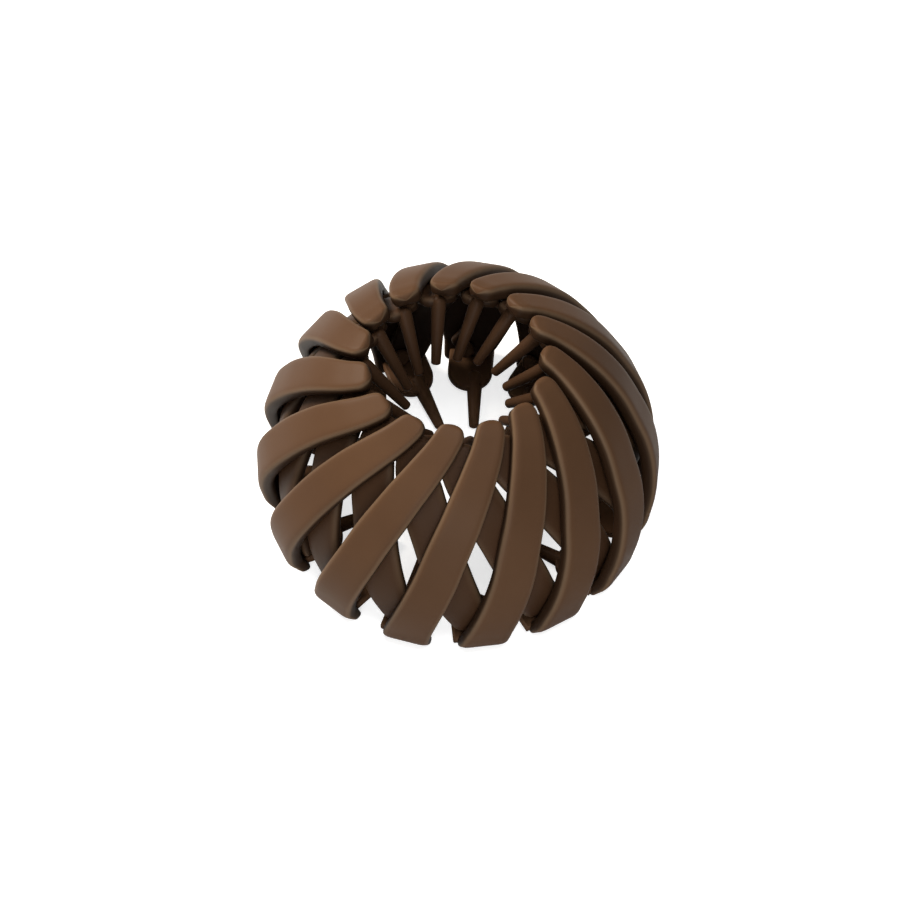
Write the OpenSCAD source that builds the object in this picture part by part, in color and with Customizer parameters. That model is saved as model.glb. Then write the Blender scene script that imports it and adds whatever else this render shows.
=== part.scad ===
// Expanding hair clip: a ring of curved claws crossed by inner bars.
// Every claw is pegged to three bars, and both carry a row of teeth that point at the axis.
// The ring stands on the feet of its claws, +Z up, with the axis of the hair passage on Z.

/* [Ring] */
// Number of claws, and of bars, round the ring
claw_count = 15; // [13:1:15]
// Outside diameter over the claws
outer_d = 75; // [73:0.5:80]
// Overall height
overall_h = 45.4; // [43:0.2:49]
// Direction of the tip of the first claw, counter-clockwise from +X
first_tip_angle = 5.5; // [0:0.1:24]

/* [Claws] */
// Thickness of a claw at the middle of its width
claw_t = 3; // [2.8:0.1:3.1]
// Width scale of the claws
claw_w_scale = 1; // [0.8:0.05:1.05]
// Width of the foot plate that carries the lower tooth
foot_w = 8.6; // [8:0.1:9]
// Thickness of the foot plate
foot_t = 1.7; // [1.4:0.1:1.7]
// Radius at which the foot plates end
foot_end_r = 23.6; // [23:0.2:26]

/* [Bars] */
// Thickness of a bar
bar_t = 2.2; // [1.8:0.1:2.4]
// Width scale of the bars
bar_w_scale = 1; // [0.8:0.05:1]
// Gap between the claws and the bars
layer_gap = 0.4; // [0.35:0.05:0.5]

/* [Pegs] */
// Diameter of the pegs that join a claw to a bar
peg_d = 2.6; // [2.2:0.1:2.8]
// Radial clearance of a peg in its hole
peg_clearance = 0.15; // [0.1:0.05:0.2]
// Diameter of the snap head on a peg
head_d = 3.8; // [3.5:0.1:4]
// Thickness of the snap head
head_t = 0.9; // [0.7:0.1:1]
// Gap between the snap head and the bar
head_gap = 0.4; // [0.35:0.05:0.5]

/* [Teeth] */
// Root diameter of the lower teeth
lower_tooth_d = 3.2; // [2.8:0.1:3.2]
// Tip diameter of the lower teeth
lower_tip_d = 1.9; // [1.6:0.1:2.1]
// Radius at which the lower teeth end
lower_tip_r = 15.5; // [13:0.5:18]
// Root diameter of the upper teeth
upper_tooth_d = 2.8; // [2.4:0.1:3]
// Tip diameter of the upper teeth
upper_tip_d = 1.5; // [1:0.1:1.8]
// Radius at which the upper teeth end
upper_tip_r = 9; // [8:0.1:11]

/* [Hidden] */
pitch = 360 / claw_count;

// Outer surface of the ring, from the ground up to the tips: radius, height
MERIDIAN = [
    [34.4, 0],
    [34.8, 0.6],
    [36.4, 3.4],
    [37.3, 7.5],
    [37.8, 12.5],
    [37.4, 17.8],
    [36.1, 22.8],
    [33.8, 27.9],
    [30.8, 33.2],
    [26.8, 37.9],
    [23.2, 40.9],
    [19.6, 43.4],
    [17.1, 45.0],
    [16.0, 45.4],
    [15.5, 45.6]
];

// Sections of a claw, from foot to tip: row of the meridian, turn from the tip, width, thickness
CLAW = [
    [0, -39.6, 7.4, 0.62],
    [0.6, -39.6, 8.7, 0.72],
    [1, -39.6, 9.0, 0.78],
    [2, -39.2, 8.8, 0.95],
    [3, -37.8, 8.5, 1],
    [4, -35.7, 8.3, 1],
    [5, -33.1, 8.2, 1],
    [6, -30.4, 8.1, 1],
    [7, -27.5, 8.0, 1],
    [8, -23.4, 7.7, 1],
    [9, -18.3, 7.2, 1],
    [10, -13.1, 6.6, 1],
    [11, -7.0, 5.8, 0.95],
    [12, -2.7, 5.2, 1],
    [13, -0.8, 4.3, 0.9],
    [14, 0, 2.7, 0.5]
];

// Sections of a bar, from its lower end to its upper one: the same four columns
BAR = [
    [1.4, -38.7, 4.8, 0.7],
    [1.7, -39.4, 7.2, 0.95],
    [2, -40.3, 7.9, 1],
    [3, -43.5, 8.2, 1],
    [4, -46.3, 8.4, 1],
    [5, -48.6, 8.5, 1],
    [6, -51.2, 8.6, 1],
    [7, -54.5, 8.6, 1],
    [8, -59.0, 8.5, 1],
    [9, -64.5, 8.1, 1],
    [10, -69.7, 7.3, 1],
    [10.8, -72.3, 6.3, 0.95],
    [11.2, -73.3, 4.0, 0.7]
];

// Pegs: row of the meridian, turn of the claw there
PEGS = [
    [2.1, -39.1],
    [6.6, -28.7],
    [9.2, -17.3]
];

// Cross-section of a claw or bar: share of the width, depth under the crown
SECTION_ACROSS = [-0.40, 0.40, 0.5, 0.5, 0.43, 0.22, -0.22, -0.43, -0.5, -0.5];
SECTION_DEPTH = [1, 1, 0.8, 0.4, 0.15, 0, 0, 0.15, 0.4, 0.8];
SECTION_POINTS = len(SECTION_ACROSS);

// Foot plate: height of its underside, turn from the tip of the claw, radius inside the claw where it starts
FOOT_Z = 1;
FOOT_TURN = -41.3;
FOOT_START_R = 33.6;

// Ends of the teeth: radius, height, turn from the tip of the claw above
LOWER_ROOT = [28.0, 1.75, -43.1];
LOWER_TIP = [lower_tip_r, 1.05, -47.8];
UPPER_ROOT = [17.5, 40.4, -71.8];
UPPER_TIP = [upper_tip_r, 30.8, -56.6];

// Size at which the meridian and the teeth are given
TABLE_D = 75.6;
TABLE_H = 45.4;
radius_k = outer_d / TABLE_D;
height_k = overall_h / TABLE_H;

// A row of a table at a whole or fractional place
function row_at(table, u) =
    let (i = min(floor(u), len(table) - 2), f = u - i)
    table[i] * (1 - f) + table[i + 1] * f;

// Point of the meridian, as radius and height at the chosen size
function meridian(u) =
    let (p = row_at(MERIDIAN, u))
    [p[0] * radius_k, p[1] * height_k];

function turned(p, a) = [p[0] * cos(a) - p[1] * sin(a), p[0] * sin(a) + p[1] * cos(a), p[2]];
function unit(v) = v / norm(v);

// Place on the outer surface, at a turn from the tip of the claw
function surface_point(u, turn) =
    let (m = meridian(u))
    turned([m[0], 0, m[1]], turn);

// Direction out of the surface
function surface_normal(u, turn) =
    let (a = meridian(max(u - 0.5, 0)), b = meridian(min(u + 0.5, len(MERIDIAN) - 1)), d = b - a)
    turned(unit([d[1], 0, -d[0]]), turn);

// Place given by a radius, a height and a turn
function ring_point(p) = turned([p[0], 0, p[1] * height_k], p[2]);

// Points of one cross-section, with the crown at the given depth under the outer surface.
// The section at row 0 lies flat on the ground.
function section_ring(path, i, inset, thick, w_scale) =
    let (
        row = path[i],
        here = surface_point(row[0], row[1]),
        before = path[max(i - 1, 0)],
        after = path[min(i + 1, len(path) - 1)],
        along = unit(surface_point(after[0], after[1]) - surface_point(before[0], before[1])),
        level = row[0] == 0,
        out = level ? turned([1, 0, 0], row[1]) : surface_normal(row[0], row[1]),
        across = level ? turned([0, 1, 0], row[1]) : unit(cross(along, out)),
        t = thick * row[3],
        top = inset + (thick - t) / 2
    )
    [
        for (j = [0 : SECTION_POINTS - 1])
            here + across * (SECTION_ACROSS[j] * row[2] * w_scale)
                - out * (top + SECTION_DEPTH[j] * t)
    ];

// Closed body swept through the sections of a path
module swept_strip(path, inset, thick, w_scale) {
    n = SECTION_POINTS;
    last = len(path) - 1;
    points = [for (i = [0 : last]) each section_ring(path, i, inset, thick, w_scale)];
    sides = [
        for (i = [0 : last - 1], j = [0 : n - 1])
            let (a = i * n + j, b = i * n + (j + 1) % n)
            each [[a, b, b + n], [a, b + n, a + n]]
    ];
    caps = [
        [for (j = [n - 1 : -1 : 0]) j],
        [for (j = [0 : n - 1]) last * n + j]
    ];
    polyhedron(points, concat(sides, caps), convexity = 6);
}

// Turned body along the line between two points, from a profile of radius and height
module turned_body(from, to, profile) {
    v = to - from;
    translate(from)
        rotate([0, acos(v[2] / norm(v)), atan2(v[1], v[0])])
            rotate_extrude($fn = 32)
                polygon(profile);
}

module rod(from, to, d_from, d_to) {
    h = norm(to - from);
    turned_body(from, to, [[0, 0], [d_from / 2, 0], [d_to / 2, h], [0, h]]);
}

// Tapered rod with a rounded end
module tooth(root, tip, root_d, tip_d) {
    h = norm(tip - root);
    turned_body(root, tip, [
        [0, 0], [root_d / 2, 0], [tip_d / 2, h - tip_d / 2],
        [tip_d * 0.43, h - tip_d / 4], [tip_d / 4, h - tip_d * 0.07], [0, h]
    ]);
}

// Point on the axis of a peg, at a depth under the outer surface
function peg_point(peg, depth) =
    surface_point(peg[0], peg[1]) - surface_normal(peg[0], peg[1]) * depth;

bar_inset = claw_t + layer_gap;
head_depth = bar_inset + bar_t + head_gap;
// Depth at which the pegs start inside a claw, overrun of the holes, taper of the snap heads
peg_start = claw_t * 0.6;
HOLE_OVERRUN = 1;
HEAD_TAPER = 0.75;

// Plate with a round end that reaches inward from the foot of a claw
module foot_plate() {
    centre_r = foot_end_r + foot_w / 2;
    rotate([0, 0, FOOT_TURN])
        translate([centre_r, 0, FOOT_Z]) {
            cylinder(h = foot_t, d = foot_w, $fn = 48);
            translate([0, -foot_w / 2, 0])
                cube([FOOT_START_R * radius_k - centre_r, foot_w, foot_t]);
        }
}

// Outer claw, with its foot plate, lower tooth and pegs
module outer_claw() {
    color("#6b5040") {
        swept_strip(CLAW, 0, claw_t, claw_w_scale);
        foot_plate();
        tooth(ring_point(LOWER_ROOT), ring_point(LOWER_TIP), lower_tooth_d, lower_tip_d);
        for (peg = PEGS) {
            rod(peg_point(peg, peg_start), peg_point(peg, head_depth + head_t / 2), peg_d, peg_d);
            rod(
                peg_point(peg, head_depth), peg_point(peg, head_depth + head_t),
                head_d, head_d * HEAD_TAPER
            );
        }
    }
}

// Inner bar, with its upper tooth and the holes for the pegs of three claws
module inner_bar() {
    hole_d = peg_d + 2 * peg_clearance;
    color("#4a382e") {
        difference() {
            swept_strip(BAR, bar_inset, bar_t, bar_w_scale);
            for (k = [0 : len(PEGS) - 1])
                rotate([0, 0, -k * pitch])
                    rod(
                        peg_point(PEGS[k], bar_inset - HOLE_OVERRUN),
                        peg_point(PEGS[k], bar_inset + bar_t + HOLE_OVERRUN),
                        hole_d, hole_d
                    );
        }
        tooth(ring_point(UPPER_ROOT), ring_point(UPPER_TIP), upper_tooth_d, upper_tip_d);
    }
}

// Turns a piece to its place in the ring
module placed(index) {
    rotate([0, 0, first_tip_angle + (index - 1) * pitch])
        children();
}

function two_digits(i) = i < 10 ? str("0", i) : str(i);

for (i = [1 : claw_count])
    placed(i) outer_claw();

for (i = [1 : claw_count])
    placed(i) inner_bar();
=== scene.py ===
import math

import bmesh
import bpy
import numpy as np
from mathutils import Matrix, Vector


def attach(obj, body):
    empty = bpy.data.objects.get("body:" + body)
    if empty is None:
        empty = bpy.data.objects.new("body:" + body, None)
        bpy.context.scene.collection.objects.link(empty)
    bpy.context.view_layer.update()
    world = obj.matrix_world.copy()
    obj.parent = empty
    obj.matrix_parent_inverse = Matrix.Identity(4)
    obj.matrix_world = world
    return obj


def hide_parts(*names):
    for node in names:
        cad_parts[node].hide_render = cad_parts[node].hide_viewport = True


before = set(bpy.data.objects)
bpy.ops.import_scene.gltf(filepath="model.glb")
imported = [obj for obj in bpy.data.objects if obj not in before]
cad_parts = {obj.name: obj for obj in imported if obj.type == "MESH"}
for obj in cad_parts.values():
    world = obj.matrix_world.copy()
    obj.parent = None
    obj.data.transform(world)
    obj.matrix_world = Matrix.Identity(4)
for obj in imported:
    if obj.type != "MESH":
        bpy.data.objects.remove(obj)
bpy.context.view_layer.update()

mm = 0.001
scene = bpy.context.scene


camera = {
    "elevation": 55.05,             # degrees above the table
    "distance": 771,
    "aim": (-1.5, -4.75, 22.0),
    "viewWidth": 166.05,            # width of the picture at the aim
    "roll": 0.13,
}


def makeCamera():
    tilt = math.radians(camera["elevation"])
    back = Vector((0, -math.cos(tilt), math.sin(tilt)))
    data = bpy.data.cameras.new("photoCamera")
    data.sensor_width = 36
    data.lens = data.sensor_width * camera["distance"] / camera["viewWidth"]
    data.clip_start, data.clip_end = 0.05, 20
    eye = bpy.data.objects.new("photoCamera", data)
    eye.location = (Vector(camera["aim"]) + back * camera["distance"]) * mm
    turn = (-back).to_track_quat("-Z", "Y").to_matrix()
    eye.rotation_euler = (turn @ Matrix.Rotation(math.radians(camera["roll"]), 3, "Z")).to_euler()
    scene.collection.objects.link(eye)
    scene.camera = eye


makeCamera()
print("camera placed")


def smoothThrough(knots, values, at):
    # cubic pieces through the rows, with tangents taken from the neighbours
    knots, values, at = (np.array(x, float) for x in (knots, values, at))
    step = np.diff(knots)[:, None]
    slope = np.diff(values, axis=0) / step
    tangent = np.concatenate([
        slope[:1],
        (slope[:-1] * step[1:] + slope[1:] * step[:-1]) / (step[:-1] + step[1:]),
        slope[-1:],
    ])
    i = np.clip(np.searchsorted(knots, at, "right") - 1, 0, len(knots) - 2)
    h = step[i]
    t = (at - knots[i])[:, None] / h
    return (values[i] * (2 * t**3 - 3 * t**2 + 1) + tangent[i] * h * (t**3 - 2 * t**2 + t)
            + values[i + 1] * (3 * t**2 - 2 * t**3) + tangent[i + 1] * h * (t**3 - t**2))


ring = {
    "pieces": 15,
    "firstTip": 5.5,                # degrees, where the tip of the first claw points
    "radiusScale": 75 / 75.6,
    # the tips on one side sit further out, as the plastic gives; each strip says how far
    "giveSide": 165, "giveRadius": (31, 20), "giveHeight": (12, 24),
    # outer surface from the ground up to the tips: radius, height
    "meridian": [
        (34.4, 0), (34.8, 0.6), (36.4, 3.4), (37.3, 7.5), (37.8, 12.5), (37.4, 17.8), (36.1, 22.8),
        (33.8, 27.9), (30.8, 33.2), (26.8, 37.9), (23.2, 40.9), (19.6, 43.35), (17.1, 44.85),
        (16.0, 45.4), (15.5, 45.6),
    ],
}


def surfaceAt(rows):
    spot = smoothThrough(range(len(ring["meridian"])), ring["meridian"], rows)
    spot[:, 0] *= ring["radiusScale"]
    return spot


def turnedPoint(radius, height, turn):
    a = math.radians(turn)
    return Vector((radius * math.cos(a), radius * math.sin(a), height))


def endShare(s, corner):
    # how far a rounded corner has opened at a distance from the end, from 0 to 1
    s = np.clip(s / corner, 0, 1)
    return np.sqrt(1 - (1 - s) ** 2)


def pathRows(strip):
    def place(v):
        a = np.radians(v[:, 2])
        return np.column_stack([v[:, 0] * np.cos(a), v[:, 0] * np.sin(a), v[:, 1]])

    # columns: radius, height, turn, width, thickness share
    table = np.array(strip["rows"])
    values = np.column_stack([surfaceAt(table[:, 0]), table[:, 1:]])
    knots = np.concatenate([[0], np.cumsum(np.linalg.norm(np.diff(place(values), axis=0), axis=1))])
    length = knots[-1]
    bend = np.linspace(0, math.pi / 2, strip["endSteps"] + 1)
    low, high = strip["lowCorner"], strip["highCorner"]
    middle = np.linspace(low, length - high, strip["steps"])[1:-1]
    s = np.concatenate([low * (1 - np.cos(bend)), middle, length - high * (1 - np.cos(bend[::-1]))])
    row = smoothThrough(knots, values, s)
    tiny = 0.01
    after = smoothThrough(knots, values, np.clip(s + tiny, 0, length))
    before = smoothThrough(knots, values, np.clip(s - tiny, 0, length))
    along = place(after) - place(before)
    slope = after[:, :2] - before[:, :2]
    a = np.radians(row[:, 2])
    out = np.column_stack([slope[:, 1] * np.cos(a), slope[:, 1] * np.sin(a), -slope[:, 0]])
    out /= np.linalg.norm(out, axis=1)[:, None]
    # a strip that stands on the ground has a level end
    if strip["levelEnd"]:
        level = np.clip(1 - s / strip["levelEnd"], 0, 1)[:, None]
        out = out * (1 - level) + np.column_stack([np.cos(a), np.sin(a), a * 0]) * level
        out /= np.linalg.norm(out, axis=1)[:, None]
    across = np.cross(along, out)
    across /= np.linalg.norm(across, axis=1)[:, None]

    half = row[:, 3] / 2
    thick = strip["thickness"] * row[:, 4]
    inset = strip["inset"] + (strip["thickness"] - thick) / 2
    for fromEnd, corner, edge in ((s, low, strip["lowEdge"]), (length - s, high, strip["highEdge"])):
        half = half - corner * (1 - endShare(fromEnd, corner))
        lift = edge * (1 - endShare(fromEnd, edge))
        inset, thick = inset + lift, thick - lift * (1 + strip["innerEdge"])
    # one more row at each end, drawn together in the middle, closes the strip
    rows = dict(place=place(row), across=across, out=out, half=half, thick=thick, inset=inset)
    for name, v in rows.items():
        first, last = v[:1].copy(), v[-1:].copy()
        if name in ("half", "thick"):
            first, last = first * 0, last * 0
        if name == "inset":
            first, last = first + thick[:1] / 2, last + thick[-1:] / 2
        rows[name] = np.concatenate([first, v, last])
    return rows


def sectionPoints(strip):
    # closed smooth curve through half a section and its mirror image
    half = np.array(strip["section"], float)
    mirrored = half[-2:0:-1] * (-1, 1, 1, 1)
    loop = np.concatenate([half, mirrored, half[:1]])
    width, thick = strip["rows"][5][2] / 2, strip["thickness"]
    step = np.linalg.norm(np.diff(loop[:, :2] * (width, thick), axis=0), axis=1)
    knots = np.concatenate([[0], np.cumsum(step)])
    at = np.interp(np.arange(strip["around"]) * len(half) / strip["around"] * 2,
                   np.linspace(0, 2 * len(half), len(knots)), knots)
    points = smoothThrough(knots, loop, at)
    return np.column_stack([points[:, 0], np.clip(points[:, 1:], 0, 1)])


def attributeMesh(name, places, vectors, floats):
    mesh = bpy.data.meshes.new(name)
    mesh.from_pydata([tuple(p) for p in places], [], [])
    for key, v in vectors.items():
        mesh.attributes.new(key, "FLOAT_VECTOR", "POINT").data.foreach_set("vector", np.ravel(v))
    for key, v in floats.items():
        mesh.attributes.new(key, "FLOAT", "POINT").data.foreach_set("value", np.ravel(v))
    thing = bpy.data.objects.new(name, mesh)
    scene.collection.objects.link(thing)
    return thing


def pathObject(strip):
    r = pathRows(strip)
    return attributeMesh(
        strip["name"] + "Path", r["place"] * mm, {"acrossDir": r["across"], "outDir": r["out"]},
        {"half": r["half"] * mm, "thick": r["thick"] * mm, "inset": r["inset"] * mm})


def sectionObject(strip):
    p = sectionPoints(strip)
    # the section also carries where a highlight is painted on the rounded edges and where shade is painted on the
    # walls and inner faces
    return attributeMesh(
        strip["name"] + "Section", p * 0, {},
        {"side": p[:, 0], "face": p[:, 1], "edgeHighlightShare": p[:, 2], "wallShadeShare": p[:, 3]})


class Tree:
    def __init__(self, name):
        self.tree = bpy.data.node_groups.new(name, "GeometryNodeTree")
        self.start = self.tree.nodes.new("NodeGroupInput")
        self.end = self.tree.nodes.new("NodeGroupOutput")

    def socket(self, name, kind, way="INPUT", value=None):
        made = self.tree.interface.new_socket(name=name, in_out=way, socket_type="NodeSocket" + kind)
        if value is not None:
            made.default_value = value

    def add(self, kind, links=None, **settings):
        node = self.tree.nodes.new(kind)
        for key, v in settings.items():
            setattr(node, key, v)
        for key, v in (links or {}).items():
            self.feed(node.inputs[key], v)
        return node

    def feed(self, socket, v):
        if isinstance(v, bpy.types.NodeSocket):
            self.tree.links.new(v, socket)
        else:
            socket.default_value = v

    def maths(self, operation, a, b=0.0):
        return self.add("ShaderNodeMath", {0: a, 1: b}, operation=operation).outputs[0]

    def scaled(self, vector, by):
        return self.add("ShaderNodeVectorMath", {"Vector": vector, "Scale": by}, operation="SCALE").outputs[0]

    def vectors(self, operation, a, b):
        return self.add("ShaderNodeVectorMath", {0: a, 1: b}, operation=operation).outputs[0]

    def named(self, name, kind="FLOAT"):
        node = self.add("GeometryNodeInputNamedAttribute", data_type=kind)
        node.inputs["Name"].default_value = name
        return node.outputs["Attribute"]

    def sampled(self, geometry, value, index, kind="FLOAT"):
        node = self.add("GeometryNodeSampleIndex", data_type=kind, domain="POINT")
        self.feed(node.inputs["Geometry"], geometry)
        self.feed(node.inputs["Value"], value)
        self.feed(node.inputs["Index"], index)
        return node.outputs[0]


def makeSweepTree():
    t = Tree("sweepStrip")
    t.socket("Path", "Geometry")
    t.socket("Section", "Geometry")
    t.socket("Strip", "Geometry", "OUTPUT")
    path, section = t.start.outputs["Path"], t.start.outputs["Section"]
    counted = t.add("GeometryNodeAttributeDomainSize", {"Geometry": path}, component="MESH")
    rows = counted.outputs["Point Count"]
    counted = t.add("GeometryNodeAttributeDomainSize", {"Geometry": section}, component="MESH")
    perLoop = counted.outputs["Point Count"]
    columns = t.maths("ADD", perLoop, 1)
    grid = t.add("GeometryNodeMeshGrid", {"Vertices X": rows, "Vertices Y": columns})
    index = t.add("GeometryNodeInputIndex").outputs[0]
    row = t.maths("FLOOR", t.maths("DIVIDE", t.maths("ADD", index, 0.5), columns))
    column = t.maths("SUBTRACT", index, t.maths("MULTIPLY", row, columns))
    column = t.maths("MODULO", column, perLoop)

    def atRow(name, kind="FLOAT"):
        return t.sampled(path, t.named(name, kind), row, kind)

    def atColumn(name):
        return t.sampled(section, t.named(name), column)

    place = t.sampled(path, t.add("GeometryNodeInputPosition").outputs[0], row, "FLOAT_VECTOR")
    sideways = t.maths("MULTIPLY", atColumn("side"), atRow("half"))
    deep = t.maths("ADD", t.maths("MULTIPLY", atColumn("face"), atRow("thick")), atRow("inset"))
    spot = t.vectors("ADD", place, t.scaled(atRow("acrossDir", "FLOAT_VECTOR"), sideways))
    spot = t.vectors("SUBTRACT", spot, t.scaled(atRow("outDir", "FLOAT_VECTOR"), deep))
    marked = grid.outputs["Mesh"]
    # the shares of painted edge highlight and painted wall shade go onto the strip
    for name in ("edgeHighlightShare", "wallShadeShare"):
        store = t.add("GeometryNodeStoreNamedAttribute", {"Geometry": marked}, data_type="FLOAT", domain="POINT")
        store.inputs["Name"].default_value = name
        t.feed(store.inputs["Value"], atColumn(name))
        marked = store.outputs[0]
    moved = t.add("GeometryNodeSetPosition", {"Geometry": marked, "Position": spot})
    joined = t.add("GeometryNodeMergeByDistance", {"Geometry": moved.outputs[0], "Distance": 0.002 * mm})
    smooth = t.add("GeometryNodeSetShadeSmooth", {"Geometry": joined.outputs[0], "Shade Smooth": True})
    t.feed(t.end.inputs[0], smooth.outputs[0])
    return t.tree


def makeRingTree(sweep):
    t = Tree("ringOfStrips")
    t.socket("Geometry", "Geometry")
    t.socket("Path", "Object")
    t.socket("Section", "Object")
    t.socket("Moulded on", "Object")
    t.socket("Pieces", "Int", value=15)
    t.socket("First turn", "Float", value=0.0)
    t.socket("Plastic", "Material")
    t.socket("Give", "Float", value=0.0)
    t.socket("Give side", "Vector", value=(-1, 0, 0))
    for name in ("Give radius", "Full give radius", "Give height", "Full give height"):
        t.socket(name, "Float", value=0.0)
    t.socket("Geometry", "Geometry", "OUTPUT")
    given = t.start.outputs
    shapes = [t.add("GeometryNodeObjectInfo", {"Object": given[name]}).outputs["Geometry"]
              for name in ("Path", "Section", "Moulded on")]
    strip = t.add("GeometryNodeGroup", node_tree=sweep)
    t.feed(strip.inputs["Path"], shapes[0])
    t.feed(strip.inputs["Section"], shapes[1])
    piece = t.add("GeometryNodeJoinGeometry")
    t.feed(piece.inputs[0], strip.outputs[0])
    t.feed(piece.inputs[0], shapes[2])
    index = t.add("GeometryNodeInputIndex").outputs[0]
    pitch = t.maths("DIVIDE", 360.0, given["Pieces"])
    turn = t.maths("ADD", t.maths("MULTIPLY", index, pitch), given["First turn"])
    turn = t.maths("RADIANS", t.maths("ADD", turn, t.named("ownTurn")))
    euler = t.add("ShaderNodeCombineXYZ", {"Z": turn}).outputs[0]
    rotation = t.add("FunctionNodeEulerToRotation", {0: euler}).outputs[0]
    around = t.add("GeometryNodeInstanceOnPoints",
                   {"Points": given["Geometry"], "Instance": piece.outputs[0], "Rotation": rotation})
    real = t.add("GeometryNodeRealizeInstances", {"Geometry": around.outputs[0]})

    # the tips give way on one side, eased in by radius and by height
    place = t.add("GeometryNodeInputPosition").outputs[0]
    flat = t.vectors("MULTIPLY", place, (1, 1, 0))
    outward = t.add("ShaderNodeVectorMath", {0: flat}, operation="NORMALIZE").outputs[0]
    facing = t.add("ShaderNodeVectorMath", {0: outward, 1: given["Give side"]}, operation="DOT_PRODUCT")
    share = t.maths("MAXIMUM", facing.outputs["Value"], 0.0)
    radius = t.add("ShaderNodeVectorMath", {0: flat}, operation="LENGTH").outputs["Value"]
    height = t.add("ShaderNodeSeparateXYZ", {0: place}).outputs["Z"]
    for value, name in ((radius, "radius"), (height, "height")):
        eased = t.add(
            "ShaderNodeMapRange",
            {"Value": value, "From Min": given["Give " + name], "From Max": given["Full give " + name]},
            interpolation_type="SMOOTHSTEP")
        share = t.maths("MULTIPLY", share, eased.outputs[0])
    moved = t.add("GeometryNodeSetPosition", {
        "Geometry": real.outputs[0], "Offset": t.scaled(outward, t.maths("MULTIPLY", share, given["Give"]))})
    painted = t.add("GeometryNodeSetMaterial", {"Geometry": moved.outputs[0], "Material": given["Plastic"]})
    t.feed(t.end.inputs[0], painted.outputs[0])
    return t.tree


def setInputs(modifier, values):
    for item in modifier.node_group.interface.items_tree:
        if item.in_out == "INPUT" and item.name in values:
            modifier[item.identifier] = values[item.name]


def ringPiece(name, tree, turns, values):
    points = attributeMesh(name + "Points", [(0, 0, 0)] * ring["pieces"], {}, {"ownTurn": turns})
    modifier = points.modifiers.new("ring", "NODES")
    modifier.node_group = tree
    setInputs(modifier, values)
    evaluated = points.evaluated_get(bpy.context.evaluated_depsgraph_get())
    mesh = bpy.data.meshes.new_from_object(evaluated)
    mesh.name = name
    piece = bpy.data.objects.new(name, mesh)
    scene.collection.objects.link(piece)
    bpy.data.objects.remove(points)
    shape = bmesh.new()
    shape.from_mesh(mesh)
    bmesh.ops.recalc_face_normals(shape, faces=shape.faces)
    shape.to_mesh(mesh)
    shape.free()
    return piece


def turnedBody(shape, root, tip, profile, around=24):
    # profile: distance along the axis and radius, from end to end; a radius of 0 closes it
    axis = (tip - root).normalized()
    right = axis.orthogonal().normalized()
    up = axis.cross(right)
    loops = []
    for far, radius in profile:
        centre = root + axis * far
        if radius == 0:
            loops.append([shape.verts.new(centre * mm)])
            continue
        loops.append([shape.verts.new((centre + (right * math.cos(a) + up * math.sin(a)) * radius) * mm)
                      for a in (2 * math.pi * k / around for k in range(around))])
    for low, high in zip(loops, loops[1:]):
        for k in range(around):
            corners = [low[k % len(low)], low[(k + 1) % len(low)], high[(k + 1) % len(high)], high[k % len(high)]]
            shape.faces.new(list(dict.fromkeys(corners))).smooth = True     # a triangle where an end closes


def roundedRod(length, rootRadius, tipRadius, rootRound, tipRound, steps=6):
    # half circles at both ends, squeezed along the axis where the end is blunt
    profile = []
    for k in range(steps + 1):
        a = math.pi / 2 * k / steps
        profile.append((rootRound * (1 - math.cos(a)), rootRadius * math.sin(a)))
    for k in range(steps + 1):
        a = math.pi / 2 * k / steps
        profile.append((length - tipRound * (1 - math.sin(a)), tipRadius * math.cos(a)))
    profile[0] = (profile[0][0], 0)
    profile[-1] = (profile[-1][0], 0)
    return profile


def shaderGroup(name, inputs, outputs):
    group = bpy.data.node_groups.new(name, "ShaderNodeTree")
    for socketName, kind, value in inputs:
        made = group.interface.new_socket(name=socketName, in_out="INPUT", socket_type="NodeSocket" + kind)
        made.default_value = value
    for socketName, kind in outputs:
        group.interface.new_socket(name=socketName, in_out="OUTPUT", socket_type="NodeSocket" + kind)
    return group, group.nodes.new("NodeGroupInput"), group.nodes.new("NodeGroupOutput")


def makeGrainGroup():
    # fine moulded grain with a slow swell under it
    group, given, out = shaderGroup(
        "mouldedGrain",
        [("Grain scale", "Float", 900.0), ("Swell scale", "Float", 60.0), ("Swell share", "Float", 0.6)],
        [("Height", "Float"), ("Mask", "Float")])
    n, link = group.nodes.new, group.links.new
    where = n("ShaderNodeTexCoord")
    fine, slow = n("ShaderNodeTexNoise"), n("ShaderNodeTexNoise")
    for node, name, detail in ((fine, "Grain scale", 3), (slow, "Swell scale", 2)):
        link(where.outputs["Object"], node.inputs["Vector"])
        link(given.outputs[name], node.inputs["Scale"])
        node.inputs["Detail"].default_value = detail
    both = n("ShaderNodeMix")
    link(given.outputs["Swell share"], both.inputs["Factor"])
    link(fine.outputs["Fac"], both.inputs["A"])
    link(slow.outputs["Fac"], both.inputs["B"])
    link(both.outputs["Result"], out.inputs["Height"])
    link(slow.outputs["Fac"], out.inputs["Mask"])
    return group


def blended(group, share, one, other):
    mix = group.nodes.new("ShaderNodeMix")
    mix.data_type = "RGBA"
    group.links.new(share, mix.inputs["Factor"])
    group.links.new(one, mix.inputs[6])         # A and B of a colour mix
    group.links.new(other, mix.inputs[7])
    return mix.outputs[2]


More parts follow.
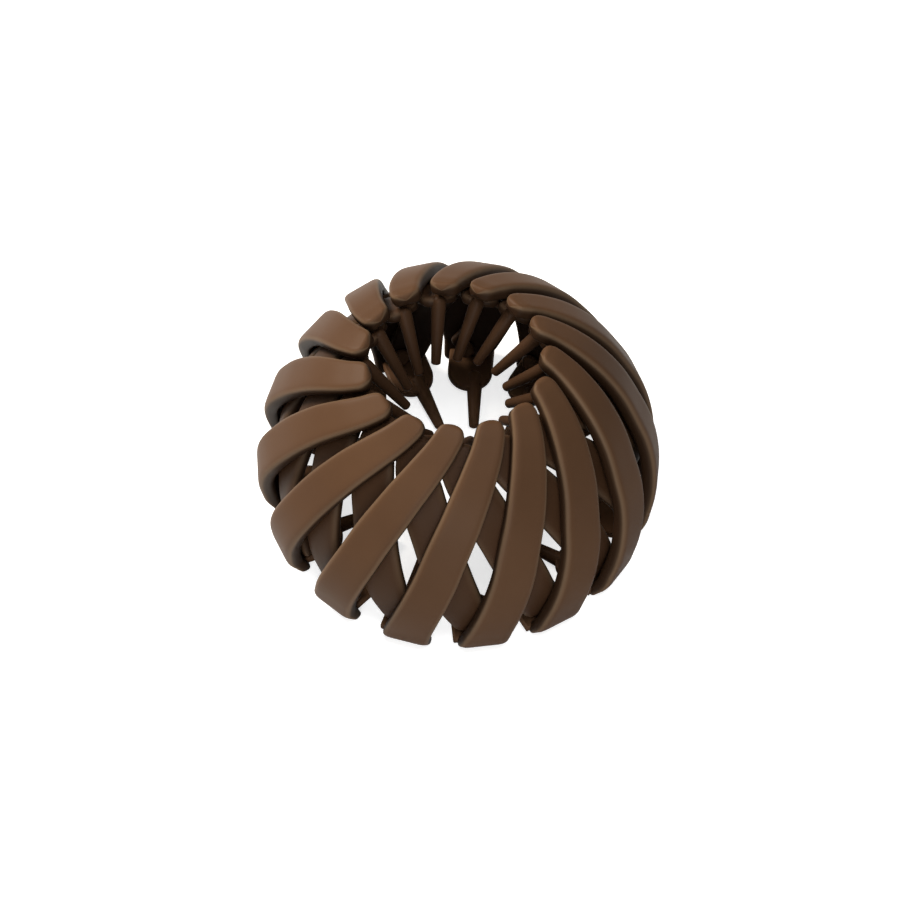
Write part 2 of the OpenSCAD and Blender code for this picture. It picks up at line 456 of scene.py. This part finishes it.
def makeToneShadeHighlightGroup():
    # slow drift between two tones, with painted shade on the walls and the inside and a painted highlight on the
    # rounded edges
    group, given, out = shaderGroup(
        "plasticTonePaintedLight",
        [("Tone", "Color", (0.1, 0.05, 0.03, 1)), ("Deep tone", "Color", (0.07, 0.04, 0.02, 1)),
         ("Rim highlight tone", "Color", (0.2, 0.12, 0.08, 1)), ("Wall shade tone", "Color", (0.05, 0.03, 0.02, 1)),
         ("Drift scale", "Float", 40.0), ("Rim highlight share", "Float", 0.3)],
        [("Color", "Color")])
    n, link = group.nodes.new, group.links.new
    where, drift = n("ShaderNodeTexCoord"), n("ShaderNodeTexNoise")
    link(where.outputs["Object"], drift.inputs["Vector"])
    link(given.outputs["Drift scale"], drift.inputs["Scale"])
    drift.inputs["Detail"].default_value = 4
    steady = n("ShaderNodeMapRange")
    steady.inputs["From Min"].default_value = 0.3
    steady.inputs["From Max"].default_value = 0.7
    link(drift.outputs["Fac"], steady.inputs["Value"])
    # shade is painted on the walls and inner faces, and a highlight on the rounded edges
    wall, edge = n("ShaderNodeAttribute"), n("ShaderNodeAttribute")
    wall.attribute_name, edge.attribute_name = "wallShadeShare", "edgeHighlightShare"
    rimHighlight = n("ShaderNodeMath")
    rimHighlight.operation = "MULTIPLY"
    link(edge.outputs["Fac"], rimHighlight.inputs[0])
    link(given.outputs["Rim highlight share"], rimHighlight.inputs[1])
    tone = blended(group, steady.outputs["Result"], given.outputs["Deep tone"], given.outputs["Tone"])
    # painted shade on the walls and inner faces
    wallShaded = blended(group, wall.outputs["Fac"], tone, given.outputs["Wall shade tone"])
    # painted highlight on the rounded edges
    rimHighlighted = blended(group, rimHighlight.outputs[0], wallShaded, given.outputs["Rim highlight tone"])
    link(rimHighlighted, out.inputs["Color"])
    return group


grainGroup, toneShadeHighlightGroup = makeGrainGroup(), makeToneShadeHighlightGroup()


def satinPlastic(name, look):
    material = bpy.data.materials.new(name)
    material.use_nodes = True
    tree = material.node_tree
    shader = tree.nodes["Principled BSDF"]
    tone = tree.nodes.new("ShaderNodeGroup")
    tone.node_tree = toneShadeHighlightGroup
    # the tone group's colours include a painted shade tone for the walls and inner faces and a painted highlight
    # tone for the rounded edges
    for key in ("Tone", "Deep tone", "Rim highlight tone", "Wall shade tone"):
        tone.inputs[key].default_value = (*look[key], 1)
    for key in ("Drift scale", "Rim highlight share"):
        tone.inputs[key].default_value = look[key]
    grain = tree.nodes.new("ShaderNodeGroup")
    grain.node_tree = grainGroup
    for key in ("Grain scale", "Swell scale", "Swell share"):
        grain.inputs[key].default_value = look[key]
    bump = tree.nodes.new("ShaderNodeBump")
    bump.inputs["Strength"].default_value = look["bumpStrength"]
    bump.inputs["Distance"].default_value = look["bumpDepth"] * mm
    rough = tree.nodes.new("ShaderNodeMapRange")
    rough.inputs["To Min"].default_value, rough.inputs["To Max"].default_value = look["roughness"]
    link = tree.links.new
    link(tone.outputs["Color"], shader.inputs["Base Color"])
    link(grain.outputs["Mask"], rough.inputs["Value"])
    link(rough.outputs["Result"], shader.inputs["Roughness"])
    link(grain.outputs["Height"], bump.inputs["Height"])
    link(bump.outputs["Normal"], shader.inputs["Normal"])
    shader.inputs["Specular IOR Level"].default_value = look["specular"]
    return material


# the rim tone and share paint a highlight on the rounded edges; the wall tone paints shade on the walls and inner
# faces
clawLook = {
    "Tone": (0.0615, 0.0315, 0.016), "Deep tone": (0.052, 0.0258, 0.0128), "Rim highlight tone": (0.145, 0.1, 0.062),
    "Wall shade tone": (0.018, 0.0088, 0.0044),
    "Drift scale": 45, "Rim highlight share": 0.38,
    "Grain scale": 1400, "Swell scale": 90, "Swell share": 0.5,
    "bumpStrength": 0.25, "bumpDepth": 0.05, "roughness": (0.42, 0.52), "specular": 0.05,
}
# the inner bars are a darker copy of the same plastic, painted shade for lying in the claws' shadow, with less
# painted highlight on their edges
shadedBarLook = {**clawLook, "Tone": (0.037, 0.0178, 0.0088), "Deep tone": (0.031, 0.015, 0.0073), "Rim highlight share": 0.2}
clawPlastic = satinPlastic("chocolatePlastic", clawLook)
shadedBarPlastic = satinPlastic("chocolatePlasticShadedInner", shadedBarLook)
print("plastics mixed")


# sizes in mm, turns in degrees
claw = {
    "name": "outerClaws", "give": 1.5,
    "thickness": 3.0, "inset": 0, "around": 40,
    "lowCorner": 0.7, "lowEdge": 0.6, "levelEnd": 2.5,      # the foot, rounded a little and cut level
    "highCorner": 2.1, "highEdge": 0.6, "innerEdge": 1,     # the rounded tip
    "endSteps": 7, "steps": 64,
    # half of the cross-section: share of the half width, share of the thickness, painted edge highlight, painted
    # wall shade
    "section": [
        (0, 0, 0, 0), (0.35, 0, 0, 0), (0.62, 0.004, 0, 0), (0.79, 0.03, 0, 0), (0.91, 0.1, 0.6, 0),
        (0.98, 0.2, 1, 0.3), (1, 0.33, 0.3, 0.9), (1, 0.6, 0, 1), (0.97, 0.82, 0, 1),
        (0.9, 0.95, 0, 1), (0.78, 1, 0, 1), (0.4, 1, 0, 1), (0, 1, 0, 1),
    ],
    # row of the meridian, turn from the tip, width, thickness share
    "rows": [
        (0, -39.6, 8.7, 0.62), (0.6, -39.6, 8.8, 0.72), (1, -39.6, 8.85, 0.78), (2, -39.2, 8.65, 0.95),
        (3, -37.8, 8.35, 1), (4, -35.7, 8.15, 1), (5, -33.1, 8.0, 1), (6, -30.4, 7.9, 1),
        (7, -27.5, 7.8, 1), (8, -23.4, 7.5, 1), (9, -18.3, 7.0, 1), (10, -13.1, 6.4, 1),
        (11, -7.0, 5.65, 0.95), (12, -2.7, 5.05, 0.9), (13, -0.8, 4.55, 0.75), (13.7, -0.3, 4.3, 0.5),
    ],
    # radius, height, turn from the tip
    "toothRoot": (28.0, 1.75, -43.1), "toothTip": (15.5, 1.05, -47.8),
    "toothRadii": (1.6, 0.95), "tipRound": 0.5,
    # row of the meridian, turn
    "pegs": [(2.1, -39.1), (6.6, -28.7), (9.2, -17.3)],
    "pegRadius": 1.3, "headRadius": 1.9, "pegEnd": 6.9,
    # how far each claw stands off its even place
    "turns": [-0.6, 0.25, -1.2, 0.4, 0.25, 1, 0.75, -2, -2.25, -2.25, -2, -1, 0, -0.25, -0.75],
}

footPlate = {
    "turn": -41.3, "under": 1.0, "over": 2.7,
    "endRadius": 23.6, "startRadius": 33.3, "width": 8.6,
    "edgeRound": 0.4,
}

bar = {
    "name": "innerBars", "give": 0.3,
    "thickness": 2.2, "inset": 3.4, "around": 32,
    "lowCorner": 1.8, "lowEdge": 0.7, "levelEnd": 0,
    "highCorner": 1.8, "highEdge": 0.7, "innerEdge": 1,
    "endSteps": 6, "steps": 44,
    "section": [
        (0, 0, 0, 0), (0.25, 0, 0, 0), (0.5, 0.005, 0, 0), (0.7, 0.05, 0, 0), (0.86, 0.14, 0.5, 0),
        (0.96, 0.28, 1, 0.2), (1, 0.45, 0.4, 0.8), (1, 0.65, 0, 1), (0.97, 0.84, 0, 1),
        (0.9, 0.96, 0, 1), (0.78, 1, 0, 1), (0.4, 1, 0, 1), (0, 1, 0, 1),
    ],
    "rows": [
        (1.4, -38.6, 7.6, 1), (1.7, -39.4, 7.75, 1), (2, -40.3, 7.9, 1), (3, -43.5, 8.2, 1),
        (4, -46.3, 8.4, 1), (5, -48.6, 8.5, 1), (6, -51.2, 8.6, 1), (7, -54.5, 8.6, 1),
        (8, -59.0, 8.5, 1), (9, -64.5, 8.1, 1), (10, -69.7, 7.3, 1), (10.8, -72.3, 6.9, 1),
        (11.2, -73.3, 6.7, 1),
    ],
    "toothRoot": (17.5, 40.4, -71.8), "toothTip": (9.0, 30.8, -56.6),
    "toothRadii": (1.4, 0.88), "tipRound": 0.5,
    # how far each bar stands off its even place
    "turns": [0, -0.6, -0.2, -0.8, -0.4, 0.2, -0.4, 0, -0.25, -0.8, 0, 0, 0.4, 0, -0.2],
}


def tooth(shape, part):
    root, tip = turnedPoint(*part["toothRoot"]), turnedPoint(*part["toothTip"])
    wide, narrow = part["toothRadii"]
    turnedBody(shape, root, tip, roundedRod((tip - root).length, wide, narrow, wide * 0.9, part["tipRound"]))


def peg(shape, row, turn):
    # stands square to the surface, starts inside the claw and ends in a domed snap head
    (radius, height), = surfaceAt([row])
    (r0, z0), (r1, z1) = surfaceAt([row - 0.3, row + 0.3])
    out = turnedPoint(z1 - z0, r0 - r1, turn).normalized()
    place = turnedPoint(radius, height, turn)
    start, end = place - out * claw["thickness"] * 0.8, place - out * claw["pegEnd"]
    r, head = claw["pegRadius"], claw["headRadius"]
    length = (end - start).length
    turnedBody(shape, start, end, [
        (0, 0), (0, r), (length - 0.9, r), (length - 0.85, head - 0.1), (length - 0.7, head),
        (length - 0.3, head * 0.9), (length - 0.05, head * 0.7), (length, head * 0.6), (length, 0)], 28)


def plate(shape, part, around=20):
    # straight sides and a round inner end, with small rounded edges
    r, half = part["edgeRound"], part["width"] / 2
    centre = part["endRadius"] + half
    arc = [math.pi / 2 + math.pi * k / around for k in range(around + 1)]
    steps = [math.pi / 6 * k for k in range(4)]
    levels = [(r * (1 - math.sin(a)), part["under"] + r * (1 - math.cos(a))) for a in steps]
    levels += [(r * (1 - math.sin(a)), part["over"] - r * (1 - math.cos(a))) for a in reversed(steps)]
    turn = Matrix.Rotation(math.radians(part["turn"]), 3, "Z")
    loops = []
    for inset, height in levels:
        spots = [(centre + (half - inset) * math.cos(a), (half - inset) * math.sin(a)) for a in arc]
        spots += [(part["startRadius"], -half + inset), (part["startRadius"], half - inset)]
        loops.append([shape.verts.new(turn @ Vector((x, y, height)) * mm) for x, y in spots])
    for low, high in zip(loops, loops[1:]):
        for k in range(len(low)):
            shape.faces.new([low[k - 1], low[k], high[k], high[k - 1]]).smooth = True
    shape.faces.new(loops[0])
    shape.faces.new(loops[-1])


def mouldOnClaw(shape):
    plate(shape, footPlate)
    tooth(shape, claw)
    for row, turn in claw["pegs"]:
        peg(shape, row, turn)


def mouldOnBar(shape):
    tooth(shape, bar)


def solidsObject(name, make):
    shape = bmesh.new()
    make(shape)
    mesh = bpy.data.meshes.new(name)
    shape.to_mesh(mesh)
    shape.free()
    thing = bpy.data.objects.new(name, mesh)
    scene.collection.objects.link(thing)
    return thing


sweepTree = makeSweepTree()
ringTree = makeRingTree(sweepTree)

clawParts = [pathObject(claw), sectionObject(claw), solidsObject("mouldedOnClaw", mouldOnClaw)]
barParts = [pathObject(bar), sectionObject(bar), solidsObject("mouldedOnBar", mouldOnBar)]
giveInputs = {
    "Give side": turnedPoint(1, 0, ring["giveSide"]),
    "Give radius": ring["giveRadius"][0] * mm, "Full give radius": ring["giveRadius"][1] * mm,
    "Give height": ring["giveHeight"][0] * mm, "Full give height": ring["giveHeight"][1] * mm,
}
for strip, parts, plastic, slotName, node in (
    (claw, clawParts, clawPlastic, "claw_plastic", "outer_claw_%02d"),
    (bar, barParts, shadedBarPlastic, "bar_plastic", "inner_bar_%02d"),
):
    piece = ringPiece(strip["name"], ringTree, strip["turns"], {
        "Path": parts[0], "Section": parts[1], "Moulded on": parts[2], "Pieces": ring["pieces"],
        "First turn": ring["firstTip"], "Plastic": plastic, "Give": strip["give"] * mm, **giveInputs})
    for thing in parts:
        bpy.data.objects.remove(thing)
    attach(piece, "root")
    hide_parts(*[node % (i + 1) for i in range(ring["pieces"])])
    print(strip["name"], len(piece.data.polygons), "faces")


studio = {
    "floorHalfSide": 3.0, "floorTone": 0.62, "floorGlow": 0.7,
    "worldStrength": 0.3,
    # place, size, power, colour
    "lights": {
        "keyLeft": ((-0.68, 0.45, 0.72), 0.4, 22.0, (1, 0.91, 0.8)),
        "fillFront": ((-0.1, -1.0, 0.42), 0.6, 7.5, (1, 1, 1)),
        "frontTop": ((0.12, -0.3, 1.2), 0.5, 9.0, (1, 1, 1)),
    },
    "lookAt": (0, 0, 0.025),
}


def makeFloor():
    mesh = bpy.data.meshes.new("floor")
    side = studio["floorHalfSide"]
    mesh.from_pydata([(-side, -side, 0), (side, -side, 0), (side, side, 0), (-side, side, 0)], [], [(0, 1, 2, 3)])
    material = bpy.data.materials.new("paleFloor")
    material.use_nodes = True
    shader = material.node_tree.nodes["Principled BSDF"]
    shader.inputs["Base Color"].default_value = (*[studio["floorTone"]] * 3, 1)
    shader.inputs["Roughness"].default_value = 0.9
    shader.inputs["Emission Color"].default_value = (1, 1, 1, 1)
    # the camera sees the floor near white, as in a cut-out picture, with little of it thrown back up
    seen = material.node_tree.nodes.new("ShaderNodeLightPath")
    lift = material.node_tree.nodes.new("ShaderNodeMath")
    lift.operation = "MULTIPLY"
    lift.inputs[1].default_value = studio["floorGlow"]
    material.node_tree.links.new(seen.outputs["Is Camera Ray"], lift.inputs[0])
    material.node_tree.links.new(lift.outputs[0], shader.inputs["Emission Strength"])
    mesh.materials.append(material)
    floor = bpy.data.objects.new("floor", mesh)
    scene.collection.objects.link(floor)


def areaLight(name, place, size, power, colour):
    data = bpy.data.lights.new(name, "AREA")
    data.shape = "DISK"
    data.size = size
    data.energy = power
    data.color = colour
    lamp = bpy.data.objects.new(name, data)
    lamp.location = place
    lamp.rotation_euler = (Vector(studio["lookAt"]) - Vector(place)).to_track_quat("-Z", "Y").to_euler()
    scene.collection.objects.link(lamp)


makeFloor()
for lightName, values in studio["lights"].items():
    areaLight(lightName, *values)
world = bpy.data.worlds.new("studio")
world.use_nodes = True
world.node_tree.nodes["Background"].inputs["Color"].default_value = (1, 1, 1, 1)
world.node_tree.nodes["Background"].inputs["Strength"].default_value = studio["worldStrength"]
scene.world = world
scene.view_settings.view_transform = "Standard"
print("floor and lights set")
